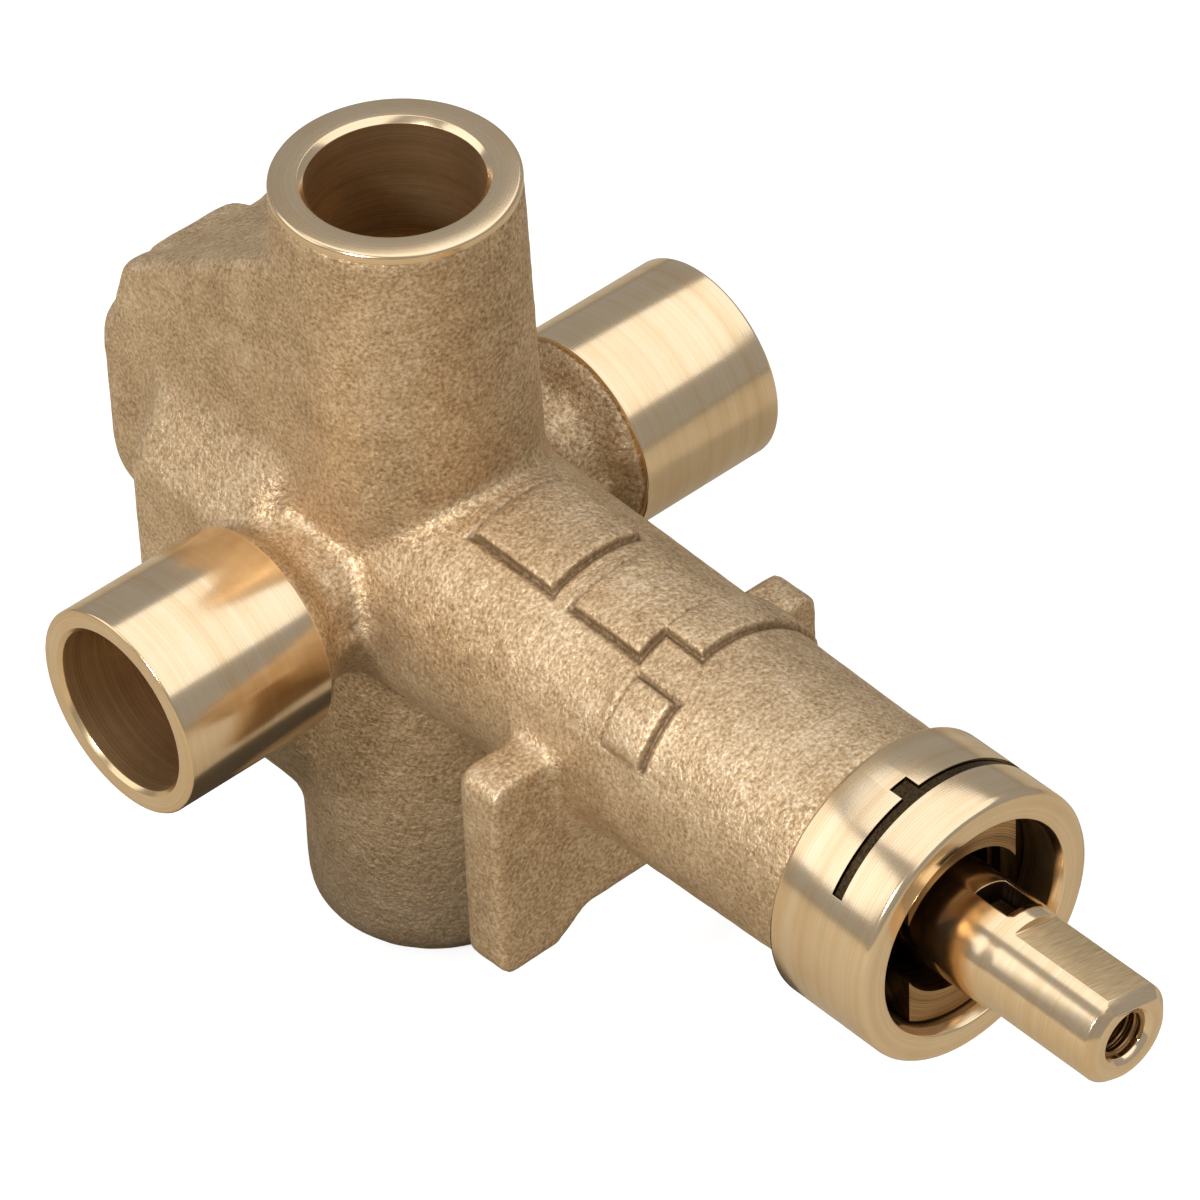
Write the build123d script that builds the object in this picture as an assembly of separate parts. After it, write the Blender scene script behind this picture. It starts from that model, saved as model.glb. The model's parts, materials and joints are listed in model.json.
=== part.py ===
from build123d import *
import os

# Shower rough-in valve: a cast body with solder sockets, a push-pull mixing cartridge and its clip.
# Millimetres. The origin is on the barrel's axis where the collar's straight wall starts, just
# behind its rim. +Z is up and the handle side faces -Y.

overcut = 1.0            # cutters run this far past the faces they open

# Ports
port_y = 70.4            # origin to the crossing of the inlet and outlet axes
socket_r = 7.95          # solder socket for nominal half-inch copper tube
socket_depth = 14.0
waterway_r = 6.4         # bore behind the outlet socket
inlet_way_r = 4.4        # bore behind the inlet sockets
outlet_top = 40.0        # outlet rim above the inlet axis
outlet_rim_r = 11.0
outlet_root_r = 12.0
rim_round = 0.6
stub_bottom = 42.0       # blind lower stub below the inlet axis
stub_r = 11.9
stub_round = 3.4
stub_floor = 5.0
cup_end = 34.5           # inlet cup rim from the centre plane
cup_back = 18.5
cup_r = 10.0
neck_r = 7.4
neck_start = 15.6
flare_root_r = 10.6

# Barrel and collar
collar_r = 13.1
collar_length = 10.9
collar_edge = 0.6        # front rim ahead of the straight wall
collar_rear_edge = 0.15
barrel_front_r = 11.45
barrel_rear_r = 12.8
head_bore_r = 10.2
head_bore_depth = 12.4
cartridge_bore_r = 9.3
mouth_lead = 0.5

# Back lobe and side bosses
lobe_back = 30.7         # lobe's back face behind the port axes
lobe_half_width = 11.4
lobe_top = 18.6
lobe_crown = 4.5         # half width of the flat top
lobe_shoulder = 13.4
lobe_round = 4.0          # softened shoulders
lobe_back_round = 3.2
back_wall = 6.1
boss_top = 13.4
boss_reach = 16.2
boss_upper = 5.5
boss_lower = -11.0
boss_foot = -29.0
boss_front = 3.0         # boss ends behind the port axes
boss_back = 21.6
boss_round = 3.0

# Ear plate under the barrel
ear_half_width = 19.0
ear_front = 38.8         # front face behind the origin
ear_thickness = 4.8
ear_top = 1.0
ear_bottom = -20.9
ear_middle_bottom = -18.4
ear_step_in = 12.6
ear_step_out = 9.0
ear_corner = 1.8

# Raised pads on top of the barrel
pad_height = 0.45
pad_half_width = 5.1
pad_spans = ((35.1, 43.4), (46.2, 56.1))   # front and rear of each pad behind the origin
band_front = 30.6
band_left = -2.0         # the stepped band runs from here round to the cold side's ear
hot_band = (29.2, 33.8)  # front and rear of the shorter band beside the hot side's ear
hot_band_sides = (-10.9, -6.6)

# Clip and its slot in the collar
clip_y = 4.7             # slot centre behind the origin
clip_thickness = 0.9
clip_half_width = 10.8
clip_gap_half = 7.5
clip_low = -8.0
clip_sink = 0.25         # clip's crown below the collar's surface
clip_clearance = 0.12
tab_x = -1.9
tab_width = 1.7
tab_length = 1.5
tab_thickness = 0.8

# Cartridge shell
shell_fit = 0.3          # radial gap between shell and body bores
ear_face = 1.1           # shell's ears behind the origin
ear_half = 6.2           # half width of the shell's ears
head_length = 10.0
mouth_recess_r = 7.0
gland_front = 9.9
gland_rear = 34.0
chamber_r = 7.0
shell_rear_gap = 0.5
plug_length = 5.0
shell_port_r = 4.0       # radius of the shell's inlet ports
outlet_port_r = 5.6
shell_ring_ys = {"front": 16.0, "middle": port_y - 12.4, "rear": port_y + 15.6}
ring_section_r = 0.9
ring_groove_gap = 0.08
port_seal_wall = 1.0

# Stem and piston
stem_tip = 18.6          # tip in front of the origin
stem_r = 4.95
handle_end_r = 4.75
stem_fit = 0.06
tip_chamfer = 0.8
stem_turn = 14.0         # the flat leans this far towards the cold side
flat_height = 3.98       # flat above the stem axis
flat_rear = 6.6          # flat and handle end stop in front of the origin
shoulder_rise = 1.6      # length of the cone from the handle end up to the stem
flat_bevel = 1.0
notch_rear = -1.1
notch_length = 3.8
notch_width = 3.6
notch_floor = 2.6
screw_r = 2.3
screw_depth = 14.0
screw_mouth_r = 2.8
stem_ring_ys = {"front": gland_rear - 8.0, "rear": gland_rear - 3.0}
stem_ring_section_r = 0.7
travel = 11.0
travel_gap = 0.3
piston_fit = 0.08
piston_socket_depth = 12.0
piston_core_r = 4.6
mix_port_r = 3.8
piston_ring_section_r = 0.7
pin_r = 1.0
pin_inset = 5.0


# Solid turned about the Y axis from (y, radius) points.
def turned_y(points):
    outline = Polyline(*[(r, y) for y, r in points], close=True)
    return revolve(make_face(outline), Axis.Y)


# Solid turned about the vertical port axis from (z, radius) points.
def turned_z(points):
    outline = Polyline(*[(r, z) for z, r in points], close=True)
    return Pos(0, port_y, 0) * revolve(Plane.XZ * make_face(outline), Axis.Z)


# Solid turned about the inlet axis from (x, radius) points.
def turned_x(points):
    outline = Polyline(*[(x, r) for x, r in points], close=True)
    return Pos(0, port_y, 0) * revolve(make_face(outline), Axis.X)


# Plate or prism drawn in X and Z, running back from y_front.
def prism(face, y_front, length):
    return Pos(0, y_front, 0) * extrude(Plane.XZ * face, -length)


def rod_y(radius, y_front, y_rear):
    return turned_y([(y_front, 0), (y_front, radius), (y_rear, radius), (y_rear, 0)])


def block(x_low, x_high, y_low, y_high, z_low, z_high):
    size = (x_high - x_low, y_high - y_low, z_high - z_low)
    return Pos((x_low + x_high) / 2, (y_low + y_high) / 2, (z_low + z_high) / 2) * Box(*size)


def both_sides(shape):
    return shape + mirror(shape, Plane.YZ)


# Ring of round section about the Y axis.
def o_ring(y, centre_r, section_r):
    return Pos(0, y, 0) * Rot(90, 0, 0) * Torus(centre_r, section_r)


# Barrel radius at a distance behind the origin, on its casting taper.
def barrel_radius(y):
    share = (y - collar_length) / (port_y - collar_length)
    return barrel_front_r + (barrel_rear_r - barrel_front_r) * share


def outlet_tube():
    tube = turned_z([(0, 0), (0, outlet_root_r), (outlet_top, outlet_rim_r), (outlet_top, 0)])
    return fillet(tube.edges().group_by(Axis.Z)[-1], rim_round)


def lower_stub():
    stub = turned_z([(0, 0), (0, outlet_root_r), (-stub_bottom, stub_r), (-stub_bottom, 0)])
    return fillet(stub.edges().group_by(Axis.Z)[0], stub_round)


def barrel():
    taper = [(collar_length, 0), (collar_length, barrel_front_r), (port_y, barrel_rear_r), (port_y, 0)]
    return turned_y(taper)


def collar():
    ring = rod_y(collar_r, -collar_edge, collar_length)
    ring = chamfer(ring.edges().group_by(Axis.Y)[0], collar_edge)
    return chamfer(ring.edges().group_by(Axis.Y)[-1], collar_rear_edge)


def inlet_cup():
    points = [
        (0, 0),
        (0, flare_root_r),
        (neck_start - (flare_root_r - neck_r), neck_r),
        (neck_start, neck_r),
        (cup_back, cup_r),
        (cup_end, cup_r),
        (cup_end, 0),
    ]
    cup = turned_x(points)
    return fillet(cup.edges().group_by(Axis.X)[-1], rim_round)


def lobe():
    w = lobe_half_width
    sides = Polyline(
        (-w, 0),
        (-w, lobe_shoulder),
        (-lobe_crown, lobe_top),
        (lobe_crown, lobe_top),
        (w, lobe_shoulder),
        (w, 0),
    )
    underside = ThreePointArc((w, 0), (0, -w), (-w, 0))
    block_shape = prism(make_face([sides, underside]), port_y, lobe_back)
    along = block_shape.edges().filter_by(Axis.Y)
    shoulders = [e for e in along if abs(abs(e.center().X) - w) < 0.01 and e.center().Z > 0.01]
    rounded = fillet(shoulders, lobe_round)
    return fillet(rounded.faces().sort_by(Axis.Y)[-1].edges(), lobe_back_round)


# Swollen side of the chamber, from the lobe's flank down to the stub.
def side_boss():
    inner = lobe_half_width - lobe_round
    outline = Polyline(
        (inner, boss_top),
        (lobe_half_width, boss_top),
        (boss_reach, boss_upper),
        (boss_reach, boss_lower),
        (stub_r - ear_corner, boss_foot),
        (0, boss_foot),
        (0, boss_top),
        close=True,
    )
    swell = prism(make_face(outline), port_y + boss_front, boss_back - boss_front)
    outer = [e for e in swell.edges().filter_by(Axis.Y) if e.center().X > lobe_half_width]
    swell = fillet(outer, boss_round)
    back = swell.faces().sort_by(Axis.Y)[-1]
    return fillet([e for e in back.edges() if e.center().X > inner], boss_round)


def ear_plate():
    w = ear_half_width
    outline = Polyline(
        (-w, ear_top),
        (-w, ear_bottom),
        (-ear_step_in, ear_bottom),
        (-ear_step_out, ear_middle_bottom),
        (ear_step_out, ear_middle_bottom),
        (ear_step_in, ear_bottom),
        (w, ear_bottom),
        (w, ear_top),
        close=True,
    )
    plate = prism(make_face(outline), ear_front, ear_thickness)
    corners = [e for e in plate.edges().filter_by(Axis.Y) if abs(e.center().X) > ear_step_out]
    return fillet(corners, ear_corner)


# Patch of the barrel's skin, raised by pad_height, between two stations and two sides.
def raised_skin(y_front, y_rear, x_low, x_high):
    lift = [
        (y_front, 0),
        (y_front, barrel_radius(y_front) + pad_height),
        (y_rear, barrel_radius(y_rear) + pad_height),
        (y_rear, 0),
    ]
    return turned_y(lift) & block(x_low, x_high, y_front, y_rear, 0, collar_r * 2)


# Bare pads where a casting carries its marks, and the stepped band in front of the ears.
def cast_pads():
    pads = raised_skin(band_front, pad_spans[0][0], band_left, collar_r * 2)
    pads += raised_skin(*hot_band, *hot_band_sides)
    for y_front, y_rear in pad_spans:
        pads += raised_skin(y_front, y_rear, -pad_half_width, pad_half_width)
    return pads


def cartridge_bores():
    bore_end = port_y + lobe_back - back_wall
    return turned_y([
        (-collar_edge - overcut, 0),
        (-collar_edge - overcut, head_bore_r + mouth_lead + overcut),
        (mouth_lead - collar_edge, head_bore_r),
        (head_bore_depth, head_bore_r),
        (head_bore_depth, cartridge_bore_r),
        (bore_end, cartridge_bore_r),
        (bore_end, 0),
    ])


def waterways():
    outlet = turned_z([
        (stub_floor - stub_bottom, 0),
        (stub_floor - stub_bottom, waterway_r),
        (outlet_top - socket_depth, waterway_r),
        (outlet_top - socket_depth, socket_r),
        (outlet_top + overcut, socket_r),
        (outlet_top + overcut, 0),
    ])
    inlet = turned_x([
        (0, 0),
        (0, inlet_way_r),
        (cup_end - socket_depth, inlet_way_r),
        (cup_end - socket_depth, socket_r),
        (cup_end + overcut, socket_r),
        (cup_end + overcut, 0),
    ])
    return outlet + both_sides(inlet)


# Slot down through the collar for the clip, with the pocket for its pull tab.
def clip_slot():
    half = clip_thickness / 2 + clip_clearance
    side = clip_half_width + clip_clearance
    low = clip_low - clip_clearance
    slot = block(-side, side, clip_y - half, clip_y + half, low, collar_r + overcut)
    tab_half = tab_width / 2 + clip_clearance
    tab_floor = collar_r - clip_sink - tab_thickness - clip_clearance
    tab_rear = clip_y + half + tab_length
    pocket = block(tab_x - tab_half, tab_x + tab_half, clip_y, tab_rear, tab_floor, collar_r + overcut)
    return slot + pocket


def valve_body():
    cast = outlet_tube() + lower_stub() + barrel() + lobe()
    cast += both_sides(side_boss()) + both_sides(inlet_cup())
    cast += ear_plate() + cast_pads() + collar()
    return cast - cartridge_bores() - waterways() - clip_slot()


# Flat U of sheet with a crown that follows the collar and a tab bent back at the top.
def retaining_clip():
    crown_r = collar_r - clip_sink
    arch_r = head_bore_r + clip_clearance
    y_front = clip_y - clip_thickness / 2
    disc = rod_y(crown_r, y_front, y_front + clip_thickness)
    disc &= block(-clip_half_width, clip_half_width, 0, port_y, clip_low, collar_r)
    gap = block(-clip_gap_half, clip_gap_half, 0, port_y, clip_low - overcut, 0)
    arch = rod_y(arch_r, 0, port_y) & block(-clip_gap_half, clip_gap_half, 0, port_y, 0, arch_r)
    tab = rod_y(crown_r, clip_y, clip_y + clip_thickness / 2 + tab_length)
    tab_low = crown_r - tab_thickness
    tab &= block(tab_x - tab_width / 2, tab_x + tab_width / 2, 0, port_y, tab_low, collar_r)
    return disc - gap - arch + tab


shell_r = cartridge_bore_r - shell_fit
shell_head_r = head_bore_r - shell_fit
shell_rear = port_y + lobe_back - back_wall - shell_rear_gap
chamber_rear = shell_rear - plug_length
piston_front = gland_rear + travel + travel_gap
piston_rear = chamber_rear - travel_gap
piston_r = chamber_r - piston_fit
stem_rear = piston_front + piston_socket_depth


# Groove for a ring that stands out to ring_outer_r from a shaft.
def ring_groove(y, ring_outer_r, section_r):
    half = section_r + ring_groove_gap
    floor_r = ring_outer_r - 2 * section_r - ring_groove_gap
    return rod_y(ring_outer_r + overcut, y - half, y + half) - rod_y(floor_r, y - half, y + half)


def shell_ring_outer():
    return cartridge_bore_r - ring_groove_gap


def cartridge_shell():
    shell = rod_y(shell_head_r, ear_face, ear_face + head_length)
    shell += rod_y(shell_r, ear_face + head_length, shell_rear)
    shell -= rod_y(mouth_recess_r, ear_face - overcut, gland_front)
    shell -= rod_y(stem_r + stem_fit, gland_front - overcut, gland_rear + overcut)
    shell -= rod_y(chamber_r, gland_rear, shell_rear + overcut)
    shoulder = clip_y + clip_thickness / 2 + clip_clearance
    shell -= both_sides(block(ear_half, collar_r, 0, shoulder, -collar_r, collar_r))
    for y in shell_ring_ys.values():
        shell -= ring_groove(y, shell_ring_outer(), ring_section_r)
    inlet_port = Pos(shell_r, port_y, 0) * Rot(0, 90, 0) * Cylinder(shell_port_r, shell_r)
    outlet_port = Pos(0, port_y, 0) * Cylinder(outlet_port_r, 2 * cartridge_bore_r)
    return shell - both_sides(inlet_port) - outlet_port


def shell_ring(name):
    return o_ring(shell_ring_ys[name], shell_ring_outer() - ring_section_r, ring_section_r)


# Rubber sleeve in an inlet port, from the piston out to the body's bore.
def port_seal(side):
    outer = shell_port_r - ring_groove_gap
    inner = outer - port_seal_wall
    reach = cartridge_bore_r * 2
    sleeve = Cylinder(outer, reach) - Cylinder(inner, reach)
    tube = Pos(side * reach / 2, port_y, 0) * Rot(0, 90, 0) * sleeve
    zone = rod_y(cartridge_bore_r - ring_groove_gap, 0, shell_rear) - rod_y(chamber_r, 0, shell_rear)
    return tube & zone


def end_plug():
    cup = rod_y(chamber_r - ring_groove_gap, chamber_rear, shell_rear)
    return chamfer(cup.edges(), mouth_lead)


# The stem before it is turned, with its flat and notch facing up.
def stem():
    rod = turned_y([
        (-stem_tip, 0),
        (-stem_tip, handle_end_r - tip_chamfer),
        (tip_chamfer - stem_tip, handle_end_r),
        (-flat_rear, handle_end_r),
        (shoulder_rise - flat_rear, stem_r),
        (piston_front, stem_r),
        (piston_front, piston_core_r),
        (stem_rear, piston_core_r),
        (stem_rear, 0),
    ])
    flat = block(-stem_r, stem_r, -stem_tip - overcut, -flat_rear, flat_height, stem_r + overcut)
    bevel_face = make_face(Polyline(
        (-stem_tip, flat_height - flat_bevel),
        (flat_bevel - stem_tip, flat_height),
        (-stem_tip, flat_height),
        close=True,
    ))
    bevel = Pos(-stem_r, 0, 0) * extrude(Plane.YZ * bevel_face, 2 * stem_r)
    notch_front = notch_rear - notch_length
    notch = block(-notch_width / 2, notch_width / 2, notch_front, notch_rear, notch_floor, stem_r + overcut)
    countersink = screw_mouth_r - screw_r
    tapped = turned_y([
        (-stem_tip - overcut, 0),
        (-stem_tip - overcut, screw_mouth_r + overcut),
        (countersink - stem_tip, screw_r),
        (screw_depth - stem_tip, screw_r),
        (screw_depth - stem_tip, 0),
    ])
    rod = rod - flat - bevel - notch - tapped
    for y in stem_ring_ys.values():
        rod -= ring_groove(y, stem_r, stem_ring_section_r)
    return Rot(0, stem_turn, 0) * (rod - pin_hole())


def stem_ring(name):
    return o_ring(stem_ring_ys[name], stem_r - stem_ring_section_r, stem_ring_section_r)


def pin_y():
    return piston_front + pin_inset


def pin_hole():
    return Pos(0, pin_y(), 0) * Cylinder(pin_r, 2 * chamber_r)


def piston_ring_ys():
    inset = shell_port_r + ring_section_r
    return {"front": port_y - inset - mix_port_r, "rear": port_y + inset}


def piston_ring_outer():
    return chamber_r - ring_groove_gap / 2


# Mixing spool: a socket for the stem in front and an open skirt with ports behind.
def piston():
    spool = rod_y(piston_r, piston_front, piston_rear)
    spool -= rod_y(piston_core_r, piston_front - overcut, stem_rear)
    spool -= rod_y(piston_core_r, stem_rear + pin_inset, piston_rear + overcut)
    mix_y = port_y + travel
    spool -= Pos(0, mix_y, 0) * Cylinder(mix_port_r, 2 * chamber_r)
    spool -= Pos(0, mix_y, 0) * Rot(0, 90, 0) * Cylinder(mix_port_r / 2, 2 * chamber_r)
    for y in piston_ring_ys().values():
        spool -= ring_groove(y, piston_ring_outer(), piston_ring_section_r)
    return Rot(0, stem_turn, 0) * (spool - pin_hole())


def piston_ring(name):
    centre_r = piston_ring_outer() - piston_ring_section_r
    return o_ring(piston_ring_ys()[name], centre_r, piston_ring_section_r)


# Cross pin, a light press in the piston and the stem, rounded to the spool's outside.
def piston_pin():
    pin = Pos(0, pin_y(), 0) * Cylinder(pin_r, 2 * chamber_r)
    return Rot(0, stem_turn, 0) * (pin & rod_y(piston_r, 0, shell_rear))


pieces = {
    "valve_body": valve_body(),
    "retaining_clip": retaining_clip(),
    "cartridge_shell": cartridge_shell(),
    "hot_port_seal": port_seal(-1),
    "cold_port_seal": port_seal(1),
    "end_plug": end_plug(),
    "stem": stem(),
    "piston": piston(),
    "piston_pin": piston_pin(),
}
for name in shell_ring_ys:
    pieces[f"shell_o_ring_{name}"] = shell_ring(name)
for name in stem_ring_ys:
    pieces[f"stem_o_ring_{name}"] = stem_ring(name)
for name in piston_ring_ys():
    pieces[f"piston_o_ring_{name}"] = piston_ring(name)

os.makedirs("parts", exist_ok=True)
for name, shape in pieces.items():
    export_step(shape, f"parts/{name}.step")
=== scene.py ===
import bmesh
import bpy
import json
import math
import numpy as np
from mathutils import Matrix, Vector, noise


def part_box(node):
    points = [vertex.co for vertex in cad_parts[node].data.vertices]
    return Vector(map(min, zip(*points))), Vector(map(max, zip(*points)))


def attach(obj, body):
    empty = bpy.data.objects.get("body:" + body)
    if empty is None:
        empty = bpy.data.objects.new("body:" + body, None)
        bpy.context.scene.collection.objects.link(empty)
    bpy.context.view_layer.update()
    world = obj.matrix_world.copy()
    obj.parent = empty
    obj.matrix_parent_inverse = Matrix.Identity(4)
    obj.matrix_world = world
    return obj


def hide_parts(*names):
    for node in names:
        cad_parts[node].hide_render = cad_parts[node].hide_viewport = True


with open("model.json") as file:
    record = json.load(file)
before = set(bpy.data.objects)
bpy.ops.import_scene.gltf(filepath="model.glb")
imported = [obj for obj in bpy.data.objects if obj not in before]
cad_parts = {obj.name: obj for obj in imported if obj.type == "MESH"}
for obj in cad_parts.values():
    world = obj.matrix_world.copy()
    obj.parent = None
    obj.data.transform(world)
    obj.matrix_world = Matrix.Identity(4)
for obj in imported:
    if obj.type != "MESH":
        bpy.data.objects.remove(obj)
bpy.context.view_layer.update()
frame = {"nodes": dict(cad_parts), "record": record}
nodes = frame["nodes"]
mounts = {mount["name"]: mount for mount in frame["record"]["mounts"]}
mm = 0.001
portY = mounts["shower_outlet"]["pos_m"][1] / mm   # where the tube and inlet axes cross, in mm
socketR = mounts["shower_outlet"]["dims"]["r_mm"]
collarR = mounts["trim_collar"]["dims"]["r_mm"]
screwR = mounts["handle_screw"]["dims"]["r_mm"]
lowCorner, highCorner = (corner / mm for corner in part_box("valve_body"))
print("frame loaded, port axes at y =", round(portY, 2), "mm")


def hexColour(code):
    channels = [int(code[i:i + 2], 16) / 255 for i in (1, 3, 5)]
    linear = [c / 12.92 if c <= 0.04045 else ((c + 0.055) / 1.055) ** 2.4 for c in channels]
    return (*linear, 1.0)


def addNode(tree, kind, settings=None, values=None, links=None):
    node = tree.nodes.new(kind)
    for name, value in (settings or {}).items():
        setattr(node, name, value)
    for socket, value in (values or {}).items():
        node.inputs[socket].default_value = value
    for socket, source in (links or {}).items():
        tree.links.new(source, node.inputs[socket])
    return node


def emptyMaterial(name):
    material = bpy.data.materials.new(name)
    material.use_nodes = True
    tree = material.node_tree
    tree.nodes.clear()
    return material, tree


def finishMaterial(tree, values, links):
    shader = addNode(tree, "ShaderNodeBsdfPrincipled", values=values, links=links)
    addNode(tree, "ShaderNodeOutputMaterial", links={"Surface": shader.outputs["BSDF"]})


def rampNode(tree, source, stops):
    ramp = addNode(tree, "ShaderNodeValToRGB", links={"Fac": source})
    marks = ramp.color_ramp.elements
    while len(marks) < len(stops):
        marks.new(0.5)
    for mark, (place, colour) in zip(marks, stops):
        mark.position = place
        mark.color = hexColour(colour)
    return ramp.outputs["Color"]


def objectPlace(tree):
    return addNode(tree, "ShaderNodeTexCoord").outputs["Object"]


def noiseNode(tree, place, sizeMm, detail, rough=0.5, dimensions="3D"):
    socket = "Vector" if dimensions == "3D" else "W"
    return addNode(
        tree, "ShaderNodeTexNoise", {"noise_dimensions": dimensions},
        {"Scale": 1 / (sizeMm * mm), "Detail": detail, "Roughness": rough}, {socket: place},
    ).outputs["Fac"]


# Noise drawn out into streaks, with its own size on each axis.
def streakNode(tree, sizesMm):
    drawn = addNode(
        tree, "ShaderNodeMapping", values={"Scale": [1 / (size * mm) for size in sizesMm]},
        links={"Vector": objectPlace(tree)},
    )
    return addNode(
        tree, "ShaderNodeTexNoise", values={"Scale": 1.0, "Detail": 3.0}, links={"Vector": drawn.outputs[0]}
    ).outputs["Fac"]


def addShare(tree, source, share, onto):
    return addNode(
        tree, "ShaderNodeMath", {"operation": "MULTIPLY_ADD"}, {1: share}, {0: source, 2: onto}
    ).outputs[0]


def rangeNode(tree, source, given, made):
    return addNode(
        tree, "ShaderNodeMapRange",
        values={"From Min": given[0], "From Max": given[1], "To Min": made[0], "To Max": made[1]},
        links={"Value": source},
    ).outputs["Result"]


def bumpNode(tree, source, strength, heightMm):
    return addNode(
        tree, "ShaderNodeBump", values={"Strength": strength, "Distance": heightMm * mm},
        links={"Height": source},
    ).outputs["Normal"]


castBronzeLook = {
    "grainMm": 0.36,        # sand grain, drawn a little coarse so that it shows
    "lumpMm": 0.95,
    "mottleMm": 2.6,
    "stainMm": 11.0,
    "mottleShare": 0.3,
    "stainShare": 0.22,
    "lumpShare": 1.3,
    "tones": ((0.5, "#907656"), (0.76, "#C9AC86"), (1.0, "#ECD7B8")),
    "paintedShade": "#5A4429",     # painted shade: dark colour laid into the grooves round raised outlines and beside the collar
    "rough": (0.62, 0.4),   # in the pits and on the grains
    "grainRange": (0.3, 0.7),
    "metallic": 0.82,
    "bumpStrength": 0.75,
    "grainHeightMm": 0.16,
}


# Bronze cast in green sand: dull tan, pitted by the sand and sparkling where grains left flat facets.
def sandCastBronze(look):
    material, tree = emptyMaterial("sandCastBronze")
    place = objectPlace(tree)
    grain = noiseNode(tree, place, look["grainMm"], 3.0, 0.62)
    mottle = noiseNode(tree, place, look["mottleMm"], 3.0, 0.6)
    stain = noiseNode(tree, place, look["stainMm"], 2.0)
    lump = noiseNode(tree, place, look["lumpMm"], 2.0)
    blend = addShare(tree, mottle, look["mottleShare"], grain)
    blend = addShare(tree, stain, look["stainShare"], blend)
    # painted shade: the colour is mixed towards dark brown where the grooves round the pads and beside the
    # collar are marked
    grooveShade = addNode(tree, "ShaderNodeAttribute", {"attribute_name": "grooveShade"})
    colour = addNode(
        tree, "ShaderNodeMixRGB", values={"Color2": hexColour(look["paintedShade"])},
        links={"Fac": grooveShade.outputs["Fac"], "Color1": rampNode(tree, blend, look["tones"])},
    )
    height = addShare(tree, lump, look["lumpShare"], blend)
    finishMaterial(tree, {"Metallic": look["metallic"]}, {
        "Base Color": colour.outputs[0],
        "Roughness": rangeNode(tree, grain, look["grainRange"], look["rough"]),
        "Normal": bumpNode(tree, height, look["bumpStrength"], look["grainHeightMm"]),
    })
    return material


turnedLook = {
    "lineMm": 0.07,         # feed of the tool
    "bandMm": 1.6,
    "tarnishMm": 6.0,
    "bandShare": 0.55,
    "tarnishShare": 0.45,
    "tones": ("#E5C599", "#EFD2A8", "#F6DEBB"),
    "tonePlaces": (0.6, 0.95, 1.3),
    "rough": (0.21, 0.13),  # where it is dark and where it is light
    "roughRange": (0.7, 1.3),
    "bumpStrength": 0.6,
    "lineHeightMm": 0.003,
    "fadeMm": None,         # painted shade: depths along the axis between which a bore darkens
    "depthShadeTint": -0.45,
}


# Brass faced and turned on a lathe: pale gold, bright, with fine rings left by the tool.
def turnedBrass(name, axis, centre, look):
    material, tree = emptyMaterial(name)
    place = objectPlace(tree)
    shifted = addNode(
        tree, "ShaderNodeVectorMath", {"operation": "SUBTRACT"}, {1: [c * mm for c in centre]}, {0: place}
    ).outputs[0]
    parts = addNode(tree, "ShaderNodeSeparateXYZ", links={0: shifted})
    along = parts.outputs["XYZ".index(axis)]
    flat = addNode(
        tree, "ShaderNodeVectorMath", {"operation": "MULTIPLY"}, {1: [float(c != axis) for c in "XYZ"]},
        {0: shifted},
    )
    across = addNode(tree, "ShaderNodeVectorMath", {"operation": "LENGTH"}, links={0: flat.outputs[0]})
    travel = addNode(tree, "ShaderNodeMath", links={0: along, 1: across.outputs["Value"]}).outputs[0]
    lines = noiseNode(tree, travel, look["lineMm"], 2.0, dimensions="1D")
    bands = noiseNode(tree, travel, look["bandMm"], 2.0, dimensions="1D")
    tarnish = noiseNode(tree, place, look["tarnishMm"], 4.0)
    tint = addShare(tree, bands, look["bandShare"], lines)
    tint = addShare(tree, tarnish, look["tarnishShare"], tint)
    # painted shade: the tint falls with depth inside a bore
    if look["fadeMm"]:
        depthShade = rangeNode(tree, along, [depth * mm for depth in look["fadeMm"]], (0.0, look["depthShadeTint"]))
        tint = addNode(tree, "ShaderNodeMath", links={0: tint, 1: depthShade}).outputs[0]
    finishMaterial(tree, {"Metallic": 1.0}, {
        "Base Color": rampNode(tree, tint, list(zip(look["tonePlaces"], look["tones"]))),
        "Roughness": rangeNode(tree, tint, look["roughRange"], look["rough"]),
        "Normal": bumpNode(tree, lines, look["bumpStrength"], look["lineHeightMm"]),
    })
    return material


# Bored faces are darker than the turned outside: partly the oxide on them, partly painted shade of the
# recess.
boredLook = {**turnedLook, "tones": ("#94774F", "#B7976C", "#D2B68D"), "rough": (0.55, 0.36)}
# The collar's mouth is darker still: partly oxide, partly painted shade inside the mouth.
mouthLook = {
    **turnedLook, "tones": ("#7A6042", "#A08460", "#C0A37B"), "rough": (0.5, 0.34), "fadeMm": (1.5, 8.0),
}
# Painted shade: the cartridge brass and the thread, which sit deep inside, are coloured dark brown.
headLook = {
    **turnedLook, "tones": ("#4A3622", "#94734B", "#B89468"), "rough": (0.45, 0.3), "fadeMm": (1.5, 6.0),
}

rubberLook = {
    "bloomMm": 1.5,
    "tones": ((0.35, "#141312"), (0.7, "#2B2927")),
    "rough": 0.62,
}


# Rings moulded in black nitrile rubber: matte, with a faint bloom.
def mouldedRubber(look):
    material, tree = emptyMaterial("mouldedNitrile")
    bloom = noiseNode(tree, objectPlace(tree), look["bloomMm"], 4.0)
    finishMaterial(tree, {"Roughness": look["rough"]}, {"Base Color": rampNode(tree, bloom, look["tones"])})
    return material


steelLook = {
    "streakMm": (0.25, 0.25, 4.0),
    "tones": ((0.3, "#2C2218"), (0.7, "#54452F")),
    "rough": (0.3, 0.5),
}


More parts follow.
